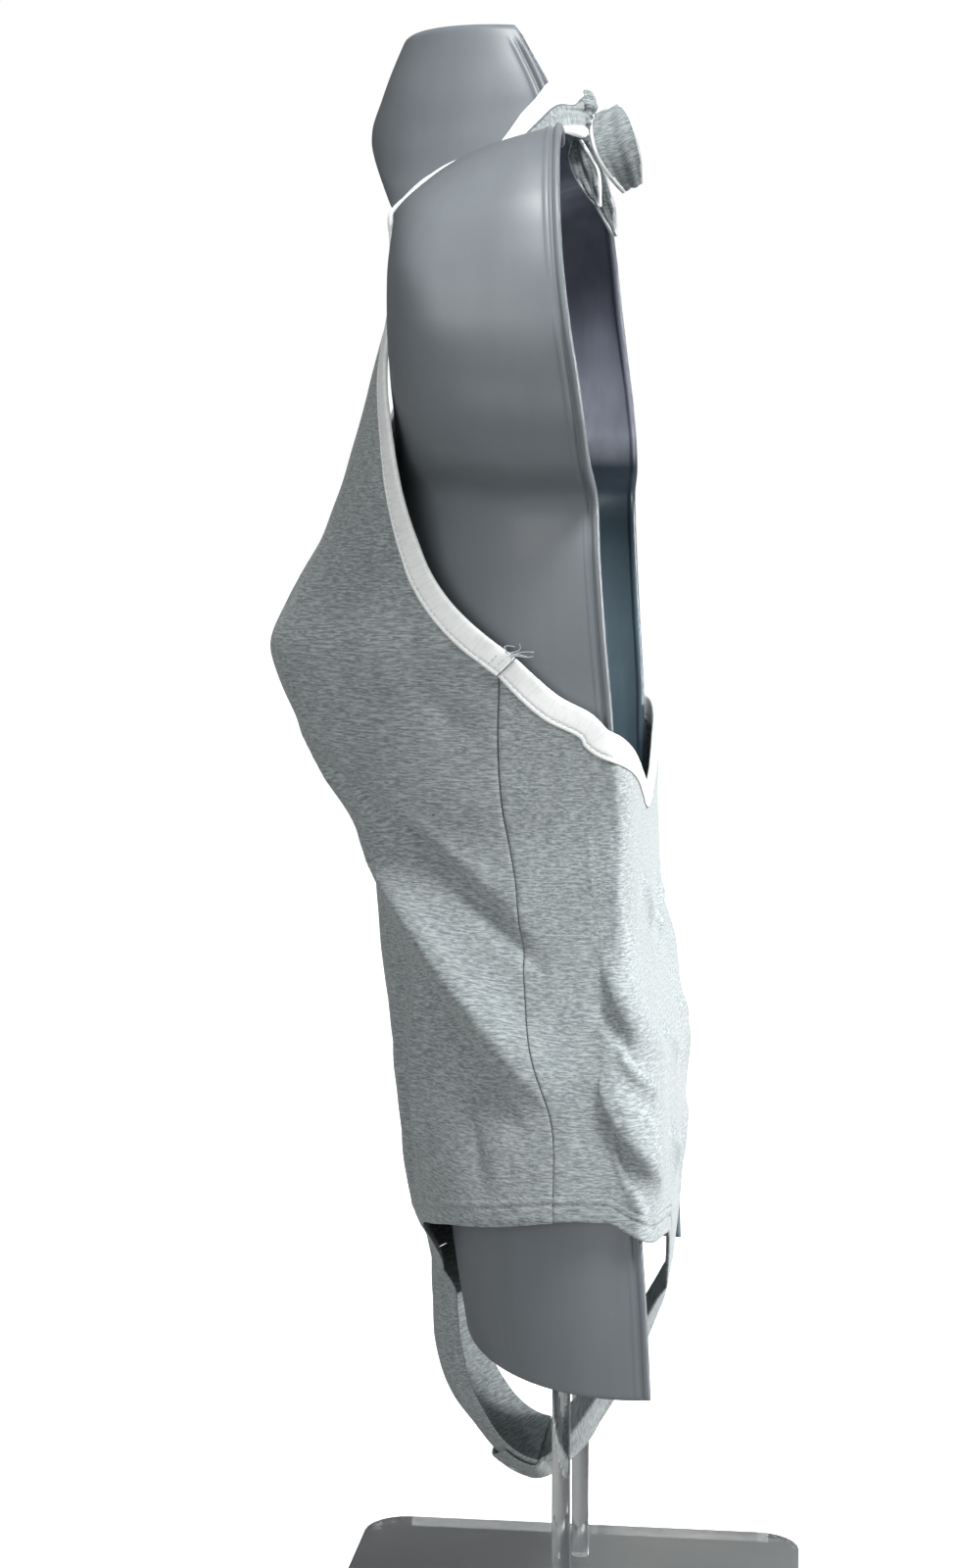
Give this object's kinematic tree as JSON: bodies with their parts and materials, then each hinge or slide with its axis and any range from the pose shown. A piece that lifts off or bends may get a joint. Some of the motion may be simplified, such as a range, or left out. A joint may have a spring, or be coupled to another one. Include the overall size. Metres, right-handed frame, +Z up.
{
  "type": "halter bodysuit on a half-shell dress form",
  "caption": "Sleeveless jersey halter bodysuit with white binding, low scooped back and tied nape, worn by a hollow open-backed plastic torso form on a clear stand.",
  "frame": {"origin": "centre of the underside of the stand's base plate", "axes": "+Z up, -Y towards the wearer's front, +X towards the wearer's left"},
  "size_m": [0.4124, 0.282, 0.8737],
  "materials": {
    "heather_jersey": "matt heather grey single jersey",
    "white_binding": "matt white folded jersey tape",
    "form_plastic": "satin grey",
    "stud_metal": "satin",
    "clear_acrylic": "clear polished"
  },
  "bodies": {
    "root": {"front_panel": "heather_jersey", "back_panel": "heather_jersey", "halter_strap_left": "heather_jersey", "halter_strap_right": "heather_jersey", "nape_knot": "heather_jersey", "tie_loop": "heather_jersey", "tie_tail_left": "heather_jersey", "tie_tail_right": "heather_jersey", "crotch_strap_front": "heather_jersey", "crotch_strap_back": "heather_jersey", "armhole_binding_left": "white_binding", "armhole_binding_right": "white_binding", "neckline_binding_left": "white_binding", "neckline_binding_right": "white_binding", "back_binding": "white_binding", "press_stud_left": "stud_metal", "press_stud_right": "stud_metal", "dress_form": "form_plastic", "stand_base": "clear_acrylic", "stand_rod_left": "clear_acrylic", "stand_rod_right": "clear_acrylic", "stand_bridge": "clear_acrylic"}
  },
  "joints": []
}
